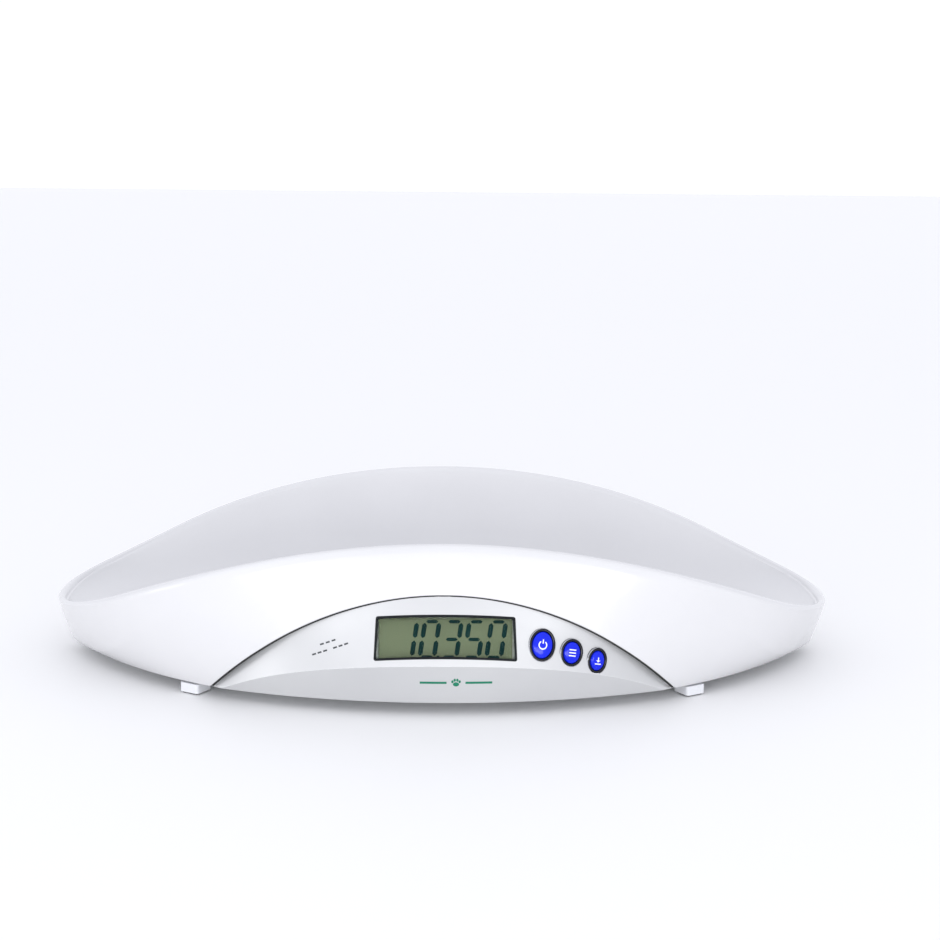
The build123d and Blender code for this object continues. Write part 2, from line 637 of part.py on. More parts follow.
with BuildPart() as base_cover:
    half, centre, front, rear, power_x, power_y = skirt_size_at(BASE_BOTTOM)
    size = (half - BASE_INSET, centre, front - BASE_INSET, rear - BASE_INSET, power_x, power_y)
    extrude(outline(*size, BASE_BOTTOM), amount=BASE_THICKNESS)
    add(facet_cutter(BASE_INSET), mode=Mode.INTERSECT)
    add(front_waste.part, mode=Mode.SUBTRACT)
    for _, side, y in FEET:
        with BuildSketch(foot_plane(side, y, BASE_TOP)):
            with Locations((0, CELL_SHIFT)):
                Rectangle(CELL_SIZE[0], CELL_SIZE[1])
                Rectangle(CELL_SIZE[0] - 2 * CELL_RIM, CELL_SIZE[1] - 2 * CELL_RIM, mode=Mode.SUBTRACT)
        extrude(amount=CELL_BOTTOM - BASE_TOP)
        with BuildSketch(foot_plane(side, y, BASE_BOTTOM)):
            with Locations((0, FOOT_NECK_SHIFT)):
                Rectangle(FOOT_NECK + 2 * FOOT_NECK_GAP, FOOT_NECK + 2 * FOOT_NECK_GAP)
        extrude(amount=BASE_THICKNESS, mode=Mode.SUBTRACT)
        with BuildSketch(foot_plane(side, y, BASE_BOTTOM)):
            with Locations(*CELL_SCREWS):
                Circle(SCREW_RADIUS)
        extrude(amount=CELL_BOTTOM - BASE_BOTTOM, mode=Mode.SUBTRACT)
    with BuildSketch(Plane.XY.offset(BASE_BOTTOM)):
        with Locations(*COVER_SCREWS, *PANEL_SCREWS):
            Circle(SCREW_CLEARANCE)
    extrude(amount=BASE_THICKNESS, mode=Mode.SUBTRACT)
    with BuildSketch(Plane.XY.offset(BASE_BOTTOM)):
        with Locations((BATTERY_X, DOOR_HINGE_Y)):
            Rectangle(BOX_INSIDE[0] + 2 * HINGE_BLOCK, 2 * HINGE_RADIUS + DOOR_GAP)
    extrude(amount=HINGE_BLOCK)
    with BuildSketch(Plane.XY.offset(BASE_BOTTOM)):
        with Locations((BATTERY_X, DOOR_MIDDLE_Y)):
            Rectangle(BOX_INSIDE[0], DOOR_LENGTH)
    extrude(amount=HINGE_BLOCK, mode=Mode.SUBTRACT)
    with BuildSketch(Plane.YZ.offset(BATTERY_X - BOX_INSIDE[0] / 2 - PIN_LENGTH)):
        with Locations((DOOR_HINGE_Y, DOOR_HINGE_Z)):
            Circle(PIN_RADIUS + PIN_CLEARANCE)
    extrude(amount=BOX_INSIDE[0] + 2 * PIN_LENGTH, mode=Mode.SUBTRACT)
save(base_cover.part, "base_cover")

with BuildPart() as cover_screws:
    with BuildSketch(Plane.XY.offset(BASE_BOTTOM)):
        with Locations(*COVER_SCREWS, *PANEL_SCREWS):
            Circle(SCREW_HEAD_RADIUS)
    extrude(amount=-SCREW_HEAD_HEIGHT)
    with BuildSketch(Plane.XY.offset(BASE_BOTTOM)):
        with Locations(*COVER_SCREWS, *PANEL_SCREWS):
            Circle(SCREW_RADIUS)
    extrude(amount=SCREW_LENGTH)
save(cover_screws.part, "cover_screws")

# ---------------------------------------------------------------- feet and load cells
for name, side, y in FEET:
    with BuildPart() as foot:
        with BuildSketch(foot_plane(side, y, PAD_HEIGHT)):
            RectangleRounded(FOOT_SIZE, FOOT_SIZE, FOOT_ROUND)
        extrude(amount=FOOT_TOP - PAD_HEIGHT)
        with BuildSketch(foot_plane(side, y, FOOT_TOP)):
            with Locations((0, FOOT_NECK_SHIFT)):
                RectangleRounded(FOOT_NECK, FOOT_NECK, FOOT_NECK_ROUND)
        extrude(amount=CELL_BOTTOM - FOOT_TOP)
    save(foot.part, f"foot_{name}")

    with BuildPart() as pad:
        with BuildSketch(foot_plane(side, y, 0)):
            RectangleRounded(FOOT_SIZE - 2 * PAD_INSET, FOOT_SIZE - 2 * PAD_INSET, FOOT_ROUND - PAD_INSET)
        extrude(amount=PAD_HEIGHT)
    save(pad.part, f"foot_pad_{name}")

    with BuildPart() as cell:
        with BuildSketch(foot_plane(side, y, CELL_BOTTOM)):
            with Locations((0, CELL_SHIFT)):
                RectangleRounded(CELL_SIZE[0], CELL_SIZE[1], CELL_ROUND)
            with Locations(*CELL_SCREWS):
                Circle(SCREW_RADIUS, mode=Mode.SUBTRACT)
            for edge in (-1, 1):
                with Locations((edge * (CELL_TONGUE + CELL_SLOT) / 2, CELL_SHIFT - CELL_RIM)):
                    Rectangle(CELL_SLOT, CELL_SIZE[1] - 4 * CELL_RIM, mode=Mode.SUBTRACT)
            with Locations((0, CELL_SHIFT - CELL_SIZE[1] / 2 + CELL_RIM)):
                Rectangle(CELL_TONGUE + 2 * CELL_SLOT, CELL_SLOT, mode=Mode.SUBTRACT)
        extrude(amount=CELL_SIZE[2])
    save(cell.part, f"load_cell_{name}")

with BuildPart() as strain_gauges:
    for _, side, y in FEET:
        with BuildSketch(foot_plane(side, y, CELL_BOTTOM + CELL_SIZE[2])):
            with Locations(*GAUGE_PLACES):
                Rectangle(GAUGE_SIZE[0], GAUGE_SIZE[1])
        extrude(amount=GAUGE_SIZE[2])
save(strain_gauges.part, "strain_gauges")

with BuildPart() as cell_screws:
    for _, side, y in FEET:
        with BuildSketch(foot_plane(side, y, BASE_BOTTOM)):
            with Locations(*CELL_SCREWS):
                Circle(SCREW_RADIUS)
        extrude(amount=CELL_BOTTOM + CELL_SIZE[2] - BASE_BOTTOM)
        with BuildSketch(foot_plane(side, y, CELL_BOTTOM + CELL_SIZE[2])):
            with Locations(*CELL_SCREWS):
                Circle(CELL_RIM / 2)
        extrude(amount=SCREW_HEAD_HEIGHT)
save(cell_screws.part, "cell_screws")

# ---------------------------------------------------------------- batteries
with BuildPart() as battery_box:
    with BuildSketch(Plane.XY.offset(BASE_TOP)):
        with Locations((BATTERY_X, BATTERY_Y)):
            Rectangle(BOX_INSIDE[0] + 2 * BOX_WALL, BOX_INSIDE[1] + 2 * BOX_WALL)
    extrude(amount=BOX_INSIDE[2] + BOX_WALL)
    with BuildSketch(Plane.XY.offset(BASE_TOP)):
        with Locations((BATTERY_X, BATTERY_Y)):
            Rectangle(BOX_INSIDE[0], BOX_INSIDE[1])
    extrude(amount=BOX_INSIDE[2], mode=Mode.SUBTRACT)
save(battery_box.part, "battery_box")

with BuildPart() as battery_cells:
    with BuildSketch(Plane.XZ.offset(PLATE_THICKNESS + CELL_NIB_HEIGHT - BOX_REAR)):
        with Locations(*BATTERY_PLACES):
            Circle(CELL_NIB_RADIUS)
    extrude(amount=CELL_NIB_HEIGHT)
    with BuildSketch(Plane.XZ.offset(PLATE_THICKNESS + 2 * CELL_NIB_HEIGHT - BOX_REAR)):
        with Locations(*BATTERY_PLACES):
            Circle(BATTERY_RADIUS)
    extrude(amount=BATTERY_LENGTH - CELL_NIB_HEIGHT)
save(battery_cells.part, "battery_cells")

with BuildPart() as battery_plates:
    for y in (BOX_REAR, BOX_FRONT + PLATE_THICKNESS):
        with BuildSketch(Plane.XZ.offset(-y)):
            with Locations(*BATTERY_PLACES):
                Rectangle(BATTERY_PITCH - PLATE_SPACING, PLATE_HEIGHT)
        extrude(amount=PLATE_THICKNESS)
save(battery_plates.part, "battery_plates")

with BuildPart() as battery_springs:
    for x, z in BATTERY_PLACES:
        start = (x, BOX_FRONT + PLATE_THICKNESS + SPRING_WIRE_RADIUS + SPRING_GAP, z)
        with BuildLine() as coil:
            Helix(SPRING_PITCH, SPRING_HEIGHT, SPRING_COIL_RADIUS, center=start, direction=(0, 1, 0))
        with BuildSketch(Plane(origin=coil.line @ 0, z_dir=coil.line % 0)):
            Circle(SPRING_WIRE_RADIUS)
        sweep(path=coil.line, is_frenet=True)
save(battery_springs.part, "battery_springs")

with BuildPart() as battery_door:
    with BuildSketch(Plane.XY.offset(BASE_BOTTOM)):
        with Locations((BATTERY_X, DOOR_MIDDLE_Y - HINGE_RADIUS / 2)):
            Rectangle(BOX_INSIDE[0] - 2 * DOOR_GAP, DOOR_LENGTH - 2 * DOOR_GAP - HINGE_RADIUS)
    extrude(amount=BASE_THICKNESS - DOOR_GAP)
    with BuildSketch(Plane.YZ.offset(BATTERY_X - BOX_INSIDE[0] / 2 + DOOR_GAP)):
        with Locations((DOOR_HINGE_Y, DOOR_HINGE_Z)):
            Circle(HINGE_RADIUS)
    extrude(amount=BOX_INSIDE[0] - 2 * DOOR_GAP)
    with BuildSketch(Plane.YZ.offset(BATTERY_X - BOX_INSIDE[0] / 2 - PIN_LENGTH + DOOR_GAP)):
        with Locations((DOOR_HINGE_Y, DOOR_HINGE_Z)):
            Circle(PIN_RADIUS)
    extrude(amount=BOX_INSIDE[0] + 2 * (PIN_LENGTH - DOOR_GAP))
save(battery_door.part, "battery_door")
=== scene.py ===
import json
from math import asin, atan, copysign, cos, pi, sin, sqrt, tan

import bmesh
import bpy
from mathutils import Matrix, Vector
from mathutils.bvhtree import BVHTree


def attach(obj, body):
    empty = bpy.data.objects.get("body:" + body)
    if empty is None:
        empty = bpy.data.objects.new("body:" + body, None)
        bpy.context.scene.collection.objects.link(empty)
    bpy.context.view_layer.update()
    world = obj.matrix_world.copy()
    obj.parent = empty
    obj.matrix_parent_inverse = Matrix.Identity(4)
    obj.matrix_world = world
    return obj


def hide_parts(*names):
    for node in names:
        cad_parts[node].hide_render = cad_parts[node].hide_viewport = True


# Animal weighing scale: the looks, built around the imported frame. Metres throughout.
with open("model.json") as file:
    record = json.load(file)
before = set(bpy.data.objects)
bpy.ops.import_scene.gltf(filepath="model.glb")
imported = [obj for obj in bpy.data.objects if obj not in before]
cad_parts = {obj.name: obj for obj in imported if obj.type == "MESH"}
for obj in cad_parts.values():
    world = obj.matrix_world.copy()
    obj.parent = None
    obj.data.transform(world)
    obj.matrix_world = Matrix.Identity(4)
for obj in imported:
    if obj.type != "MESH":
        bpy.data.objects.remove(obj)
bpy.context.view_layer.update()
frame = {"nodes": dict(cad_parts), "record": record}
MM = 0.001


# ---------------------------------------------------------------- camera, floor and light
CAMERA_PLACE = (-3.2 * MM, -1172.3 * MM, 337.9 * MM)
CAMERA_YAW = 0.01852
CAMERA_PITCH = 0.17377
CAMERA_ROLL = -0.00944
CAMERA_LENS = 63.67
CAMERA_SENSOR = 36.0
CAMERA_FAR = 100.0
FLOOR_HALF = 40.0
FLOOR_COLOR = (0.9, 0.9, 0.9)
FLOOR_ROUGHNESS = 0.6
WORLD_COLOR = (0.935, 0.945, 1.0, 1.0)
WORLD_STRENGTH = 1.1
LIGHT_TARGET = (0, 0, 0.05)
LIGHT_COLOR = (1.0, 1.0, 1.0)
LIGHTS = (
    ("front", (0.0, -1.9, 0.24), (1.8, 0.36), 13.0),
    ("left", (-1.6, -1.0, 0.3), (0.6, 0.4), 2.0),
)
SQUARE = ((-1, -1), (1, -1), (1, 1), (-1, 1))


def make_camera():
    """The camera that sees the scale from in front and a little above."""
    data = bpy.data.cameras.new("camera")
    data.lens = CAMERA_LENS
    data.sensor_width = CAMERA_SENSOR
    data.clip_end = CAMERA_FAR
    camera = bpy.data.objects.new("camera", data)
    bpy.context.scene.collection.objects.link(camera)
    reach = cos(CAMERA_PITCH)
    forward = Vector((reach * sin(CAMERA_YAW), reach * cos(CAMERA_YAW), -sin(CAMERA_PITCH)))
    level = Vector((cos(CAMERA_YAW), -sin(CAMERA_YAW), 0.0))
    upright = level.cross(forward)
    right = cos(CAMERA_ROLL) * level - sin(CAMERA_ROLL) * upright
    up = sin(CAMERA_ROLL) * level + cos(CAMERA_ROLL) * upright
    rotation = Matrix((right, up, -forward)).transposed().to_4x4()
    camera.matrix_world = Matrix.Translation(CAMERA_PLACE) @ rotation
    bpy.context.scene.camera = camera
    bpy.context.scene.view_settings.view_transform = "Standard"


def make_area_light(name, place, size, power):
    """A rectangular soft light at a place, pointing at the scale."""
    data = bpy.data.lights.new(name, "AREA")
    data.shape = "RECTANGLE"
    data.size, data.size_y = size
    data.energy = power
    data.color = LIGHT_COLOR
    light = bpy.data.objects.new(name, data)
    bpy.context.scene.collection.objects.link(light)
    light.location = place
    light.rotation_euler = (Vector(LIGHT_TARGET) - Vector(place)).to_track_quat("-Z", "Y").to_euler()


def make_studio():
    """A pale floor, a white surround and two soft lights."""
    mesh = bpy.data.meshes.new("floor")
    corners = [(x * FLOOR_HALF, y * FLOOR_HALF, 0.0) for x, y in SQUARE]
    mesh.from_pydata(corners, [], [(0, 1, 2, 3)])
    floor = bpy.data.objects.new("floor", mesh)
    bpy.context.scene.collection.objects.link(floor)
    floor.data.materials.append(plain_material("floor_white", FLOOR_COLOR, FLOOR_ROUGHNESS))
    world = bpy.data.worlds.new("world")
    bpy.context.scene.world = world
    world.use_nodes = True
    background = world.node_tree.nodes["Background"]
    background.inputs["Color"].default_value = WORLD_COLOR
    background.inputs["Strength"].default_value = WORLD_STRENGTH
    for name, place, size, power in LIGHTS:
        make_area_light(name, place, size, power)


# ---------------------------------------------------------------- materials
DRIFT_SCALE = 12.0
RAMP_START = 0.3
RAMP_END = 0.7
RELIEF_STRENGTH = 0.3
COAT_ROUGHNESS = 0.05
LENS_SCALE = 60.0
LENS_COLOR = (0.97, 0.99, 0.98, 1.0)
LENS_INDEX = 1.08


def shader(name):
    """A new node material with its Principled shader."""
    material = bpy.data.materials.new(name)
    material.use_nodes = True
    return material, material.node_tree, material.node_tree.nodes["Principled BSDF"]


def plain_material(name, color, roughness):
    """One even colour, used for the floor."""
    material, _, principled = shader(name)
    principled.inputs["Base Color"].default_value = (*color, 1.0)
    principled.inputs["Roughness"].default_value = roughness
    return material


def noise(tree, scale, detail=4.0):
    """A noise texture in the object's own metres."""
    coordinates = tree.nodes.new("ShaderNodeTexCoord")
    texture = tree.nodes.new("ShaderNodeTexNoise")
    texture.inputs["Scale"].default_value = scale
    texture.inputs["Detail"].default_value = detail
    tree.links.new(coordinates.outputs["Object"], texture.inputs["Vector"])
    return texture


def ramp(tree, source, low, high):
    """A colour ramp from one colour to another, driven by a texture."""
    node = tree.nodes.new("ShaderNodeValToRGB")
    node.color_ramp.elements[0].position = RAMP_START
    node.color_ramp.elements[0].color = (*low, 1.0)
    node.color_ramp.elements[1].position = RAMP_END
    node.color_ramp.elements[1].color = (*high, 1.0)
    tree.links.new(source, node.inputs["Fac"])
    return node


def bump(tree, principled, source, distance):
    """Surface relief from a texture."""
    node = tree.nodes.new("ShaderNodeBump")
    node.inputs["Strength"].default_value = RELIEF_STRENGTH
    node.inputs["Distance"].default_value = distance
    tree.links.new(source, node.inputs["Height"])
    tree.links.new(node.outputs["Normal"], principled.inputs["Normal"])


def surface(name, shades, roughness, grain, relief=0.0, metallic=0.0, coat=0.0, patch=DRIFT_SCALE, shine=0.5):
    """A moulded, painted or metal finish: colour drifts between two shades, and roughness varies finely."""
    material, tree, principled = shader(name)
    drift = noise(tree, patch)
    tint = ramp(tree, drift.outputs["Fac"], *shades)
    tree.links.new(tint.outputs["Color"], principled.inputs["Base Color"])
    fine = noise(tree, grain, 2.0)
    gloss = ramp(tree, fine.outputs["Fac"], (roughness[0],) * 3, (roughness[1],) * 3)
    tree.links.new(gloss.outputs["Color"], principled.inputs["Roughness"])
    if relief:
        bump(tree, principled, fine.outputs["Fac"], relief)
    principled.inputs["Metallic"].default_value = metallic
    principled.inputs["Coat Weight"].default_value = coat
    principled.inputs["Specular IOR Level"].default_value = shine
    principled.inputs["Coat Roughness"].default_value = COAT_ROUGHNESS
    return material


def lens_material():
    """Clear display window with a faint tint."""
    material, tree, principled = shader("lens_clear")
    smudge = noise(tree, LENS_SCALE)
    gloss = ramp(tree, smudge.outputs["Fac"], (0.01,) * 3, (0.05,) * 3)
    tree.links.new(gloss.outputs["Color"], principled.inputs["Roughness"])
    principled.inputs["Base Color"].default_value = LENS_COLOR
    principled.inputs["Transmission Weight"].default_value = 1.0
    principled.inputs["IOR"].default_value = LENS_INDEX
    return material


# Each finish: slot, name, two shades, two roughness values, grain, and what else differs from the defaults.
FINISHES = (
    ("tray", "tray_white", ((0.655, 0.655, 0.67), (0.68, 0.68, 0.695)), (0.16, 0.24), 900.0,
     {"relief": 0.00002, "coat": 0.2}),
    ("foot_plastic", "foot_white", ((0.70, 0.71, 0.74), (0.75, 0.76, 0.79)), (0.25, 0.4), 900.0,
     {"relief": 0.00003}),
    ("panel", "panel_silver", ((0.56, 0.565, 0.575), (0.60, 0.605, 0.61)), (0.32, 0.42), 2500.0,
     {"relief": 0.00001, "metallic": 0.45, "coat": 0.1}),
    ("frame", "frame_black", ((0.004, 0.006, 0.007), (0.008, 0.010, 0.012)), (0.2, 0.3), 600.0,
     {"shine": 0.2}),
    ("lcd_glass", "lcd_green", ((0.15, 0.18, 0.105), (0.175, 0.205, 0.122)), (0.3, 0.4), 700.0,
     {"patch": 30.0, "shine": 0.1}),
    ("diffuser", "diffuser_white", ((0.75, 0.80, 0.74), (0.82, 0.86, 0.80)), (0.5, 0.6), 500.0, {}),
    ("connector", "connector_grey", ((0.10, 0.10, 0.14), (0.16, 0.16, 0.2)), (0.6, 0.8), 3000.0, {}),
    ("board", "board_green", ((0.01, 0.12, 0.04), (0.02, 0.18, 0.06)), (0.3, 0.5), 1200.0,
     {"relief": 0.00004}),
    ("chips", "chip_black", ((0.01, 0.01, 0.01), (0.03, 0.03, 0.03)), (0.5, 0.7), 3000.0,
     {"relief": 0.00003}),
    ("screws", "screw_zinc", ((0.6, 0.6, 0.58), (0.7, 0.7, 0.68)), (0.2, 0.4), 2000.0,
     {"relief": 0.00002, "metallic": 1.0}),
    ("rings", "ring_dark", ((0.004, 0.004, 0.006), (0.01, 0.01, 0.014)), (0.08, 0.14), 900.0,
     {"shine": 0.3}),
    ("buttons", "button_blue", ((0.001, 0.012, 0.60), (0.002, 0.02, 0.74)), (0.08, 0.14), 700.0,
     {"patch": 60.0, "shine": 0.3}),
    ("base", "base_white", ((0.66, 0.68, 0.70), (0.74, 0.75, 0.77)), (0.5, 0.65), 1800.0,
     {"relief": 0.00008}),
    ("battery_case", "case_grey", ((0.6, 0.61, 0.62), (0.7, 0.7, 0.71)), (0.5, 0.6), 1500.0,
     {"relief": 0.00005}),
    ("cells", "cell_sleeve", ((0.02, 0.10, 0.09), (0.03, 0.15, 0.13)), (0.25, 0.35), 500.0, {"coat": 0.4}),
    ("contacts", "contact_nickel", ((0.6, 0.6, 0.55), (0.7, 0.7, 0.66)), (0.2, 0.3), 2000.0,
     {"metallic": 1.0}),
    ("rubber", "rubber_black", ((0.012, 0.012, 0.013), (0.03, 0.03, 0.03)), (0.75, 0.9), 2500.0,
     {"relief": 0.00008}),
    ("load_cell_steel", "cell_steel", ((0.45, 0.45, 0.46), (0.55, 0.55, 0.56)), (0.25, 0.4), 1500.0,
     {"relief": 0.00002, "metallic": 1.0}),
    ("gauge", "gauge_foil", ((0.5, 0.3, 0.08), (0.6, 0.38, 0.12)), (0.4, 0.5), 1500.0, {}),
    ("ring_lip", "ring_lip", ((0.6, 0.61, 0.64), (0.72, 0.73, 0.76)), (0.08, 0.16), 900.0,
     {"metallic": 1.0}),
    # The crease strip's light colour is a painted highlight along the panel's crease, not the panel's own
    # finish.
    ("painted_crease_highlight", "painted_crease_highlight", ((0.86, 0.87, 0.88), (0.92, 0.92, 0.93)), (0.2, 0.3), 1500.0,
     {"metallic": 0.2}),
    ("ink_white", "ink_white", ((0.80, 0.82, 0.85), (0.86, 0.88, 0.9)), (0.4, 0.5), 1500.0, {}),
    ("ink_grey", "ink_grey", ((0.04, 0.045, 0.05), (0.06, 0.065, 0.07)), (0.5, 0.6), 1500.0, {}),
    ("ink_green", "ink_green", ((0.0, 0.16, 0.085), (0.0, 0.19, 0.10)), (0.4, 0.5), 1500.0, {}),
    ("segment", "segment_dark", ((0.004, 0.024, 0.024), (0.006, 0.032, 0.032)), (0.3, 0.4), 1500.0,
     {"shine": 0.05}),
)


def make_materials():
    """Every finish, by the record's material slot or by its own use here."""
    made = {slot: surface(name, shades, roughness, grain, **extra)
            for slot, name, shades, roughness, grain, extra in FINISHES}
    made["lens"] = lens_material()
    return made


def finish_node(name, materials, slots):
    """Give a carried-over CAD node its finish."""
    node = frame["nodes"][name]
    node.data.materials.clear()
    node.data.materials.append(materials[slots[name]])


# ---------------------------------------------------------------- tray shell
SKIRT_BOTTOM = 8.0
SKIN = 3.0
BOWL_FLOOR = 32.0
RIM_WIDTH = 8.0
RIM_ROUND = 3.2
SKIRT_SECTIONS = (
    (8.0, 268.0, -3.0, 165.0, 150.0, 2.2, 1.17),
    (42.0, 275.0, 3.0, 156.0, 149.0, 2.15, 2.15),
    (75.0, 281.0, 9.0, 154.0, 147.5, 2.5, 2.5),
    (110.0, 287.8, 9.0, 146.0, 152.5, 2.5, 2.5),
)
RIM_TOP = 107.3
RIM_CROWN_RADIUS = 554.0
RIM_CROWN_HALF = 215.0
RIM_END_RADIUS = 412.0
FACET_LOW_RADIUS = 303.6
FACET_HIGH_RADIUS = 574.0
FACET_HIGH = 70.0
FACET_LOW_CENTRE = 142.0
FACET_HIGH_CENTRE = 422.0
BOWL_ROUND_ALONG = 46.0
BOWL_ROUND_ALONG_HEIGHT = 13.0
BOWL_ROUND_ACROSS = 72.0
BOWL_ROUND_ACROSS_HEIGHT = 75.0
BOWL_POWER_LOW = 2.9
BOWL_POWER_HIGH = 2.5
BOWL_TOP_RISE = 88.0
PANEL_ARC_RADIUS = 203.4
PANEL_ARC_CENTRE_Z = -127.6
PANEL_GAP = 0.4
COLUMNS = 576
RIM_START = 80.0
ARCH_START = 20.0
SETTLE_STEPS = 30
SETTLE_SHARE = 0.7
CREASE_PROBE = 0.2
CREASE_HALVINGS = 24
CREASE_MARGIN = 0.6
PLAIN_SHARE = 0.3
EASE_COLUMNS = 15
RIM_OUTER_END = 0.4
RIM_INNER_START = 0.6
RIM_FULLEST = 0.48
FLOOR_SHARES = (0.12, 0.3, 0.5, 0.7, 0.86)
BOWL_ROWS = 22
RIM_SHARES = (0.9, 0.8, 0.7, 0.6, 0.5, 0.4, 0.3, 0.2, 0.1)
WALL_ROWS = 12
FACET_ROWS = 8
LIP = 0.7
LIP_TURNS = (0.3, 0.7)
UNDER_DROP = 13.0
UNDER_LEAST = 30.5
UNDER_ROWS = 8
UNDER_ROUND_ROWS = 9
UNDER_SHARES = (0.8, 0.5, 0.2)
TRAY_SHARP = 0.6


def lerp(low, high, share):
    """Value at a share of the way from low to high."""
    return low + (high - low) * share


def section_at(height):
    """The skirt's section numbers at a height, by a smooth curve through the four sections."""
    heights = [section[0] for section in SKIRT_SECTIONS]
    numbers = []
    for column in range(1, len(SKIRT_SECTIONS[0])):
        total = 0.0
        for i, own in enumerate(heights):
            weight = 1.0
            for j, other in enumerate(heights):
                if i != j:
                    weight *= (height - other) / (own - other)
            total += weight * SKIRT_SECTIONS[i][column]
        numbers.append(total)
    return numbers


def outline_point(angle, half, centre, front, rear, power_x, power_y):
    """A point of a superellipse outline."""
    along, across = cos(angle), sin(angle)
    depth = rear if across > 0 else front
    x = copysign(half * abs(along) ** (2 / power_x), along)
    y = centre + copysign(depth * abs(across) ** (2 / power_y), across)
    return x, y


def facet_y(x, height, inset):
    """How far forward the lower facet lets the skirt stand."""
    share = (height - SKIRT_BOTTOM) / (FACET_HIGH - SKIRT_BOTTOM)
    centre = lerp(FACET_LOW_CENTRE, FACET_HIGH_CENTRE, share)
    radius = lerp(FACET_LOW_RADIUS, FACET_HIGH_RADIUS, share) - inset
    return centre - sqrt(max(radius ** 2 - x ** 2, 0.0))


def hull_point(angle, height, inset=0.0):
    """The skirt before its facet is cut."""
    half, centre, front, rear, power_x, power_y = section_at(height)
    return outline_point(angle, half - inset, centre, front - inset, rear - inset, power_x, power_y)


def skirt_point(angle, height, inset=0.0):
    """The skirt's face, cut back by the facet at the front."""
    x, y = hull_point(angle, height, inset)
    if sin(angle) < 0:
        y = max(y, facet_y(x, height, inset))
    return Vector((x, y, height))


def round_inset(rise, width, height):
    """How far the bowl's rounding stands in from the wall at a rise above the floor."""
    if rise >= height:
        return 0.0
    return width * (1 - sqrt(1 - (1 - rise / height) ** 2))


def bowl_point(angle, height, grow=0.0):
    """The bowl's face, or with a wall's growth the back of it."""
    rise = max(height + grow - BOWL_FLOOR, 0.0)
    half, centre, front, rear = section_at(BOWL_FLOOR + rise)[:4]
    power = lerp(BOWL_POWER_LOW, BOWL_POWER_HIGH, rise / BOWL_TOP_RISE)
    along = RIM_WIDTH - grow + round_inset(rise, BOWL_ROUND_ALONG, BOWL_ROUND_ALONG_HEIGHT)
    across = RIM_WIDTH - grow + round_inset(rise, BOWL_ROUND_ACROSS, BOWL_ROUND_ACROSS_HEIGHT)
    x, y = outline_point(angle, half - along, centre, front - across, rear - across, power, power)
    return Vector((x, y, height))


def rim_height(x):
    """Height of the rim line: a crown arc, then a reverse arc out to each end."""
    x = abs(x)
    crown_centre = RIM_TOP - RIM_CROWN_RADIUS
    if x <= RIM_CROWN_HALF:
        return crown_centre + sqrt(RIM_CROWN_RADIUS ** 2 - x ** 2)
    tilt = asin(RIM_CROWN_HALF / RIM_CROWN_RADIUS)
    end_x = RIM_CROWN_HALF + RIM_END_RADIUS * sin(tilt)
    end_z = crown_centre + RIM_CROWN_RADIUS * cos(tilt) + RIM_END_RADIUS * cos(tilt)
    return end_z - sqrt(RIM_END_RADIUS ** 2 - (end_x - x) ** 2)


def arch_height(x, gap):
    """Height of the panel's arch at a place across, or the skirt's own lower edge beside it."""
    radius = PANEL_ARC_RADIUS + gap
    if abs(x) >= radius:
        return SKIRT_BOTTOM
    return max(SKIRT_BOTTOM, PANEL_ARC_CENTRE_Z + sqrt(radius ** 2 - x ** 2))


def settle(place, height_of, start):
    """The height at which a column meets a line whose height depends on where the column stands."""
    height = start
    for _ in range(SETTLE_STEPS):
        height = lerp(height, height_of(place(height).x), SETTLE_SHARE)
    return height


def crease_height(angle, low, high):
    """Height at which the facet ends on a column, between its low and high ends."""
    def stands_in(height):
        x, y = hull_point(angle, height)
        return facet_y(x, height, 0.0) > y

    if sin(angle) >= 0 or not stands_in(low + CREASE_PROBE):
        return None
    if stands_in(high):
        return high
    below, above = low, high
    for _ in range(CREASE_HALVINGS):
        middle = (below + above) / 2
        if stands_in(middle):
            below = middle
        else:
            above = middle
    return below


def tray_columns():
    """Each column of the tray: its angle, its rim height outside and inside, and its lower edge height."""
    columns = []
    for number in range(COLUMNS):
        angle = 2 * pi * (number + 0.5) / COLUMNS
        rim = settle(lambda z: skirt_point(angle, z), rim_height, RIM_START)
        inner_rim = settle(lambda z: bowl_point(angle, z), rim_height, RIM_START)
        low = SKIRT_BOTTOM
        if sin(angle) < 0:
            low = settle(lambda z: skirt_point(angle, z), lambda x: arch_height(x, PANEL_GAP), ARCH_START)
        columns.append((angle, rim, inner_rim, low))
    return columns


def smooth_creases(columns):
    """The row along the facet's upper edge, eased to a plain share of the wall where there is no facet."""
    heights = [crease_height(angle, low, rim - RIM_ROUND) for angle, rim, _, low in columns]
    plain = [lerp(low, rim - RIM_ROUND, PLAIN_SHARE) for _, rim, _, low in columns]
    count = len(heights)
    result = []
    for i, (_, rim, _, low) in enumerate(columns):
        eased = plain[i] if heights[i] is None else heights[i]
        near = [j for j in range(1 - EASE_COLUMNS, EASE_COLUMNS) if heights[(i + j) % count] is not None]
        if heights[i] is None and near:
            j = min(near, key=abs)
            share = abs(j) / EASE_COLUMNS
            eased = lerp(heights[(i + j) % count], plain[i], share * share * (3 - 2 * share))
        result.append(min(max(eased, low + CREASE_MARGIN), rim - RIM_ROUND - CREASE_MARGIN))
    return result


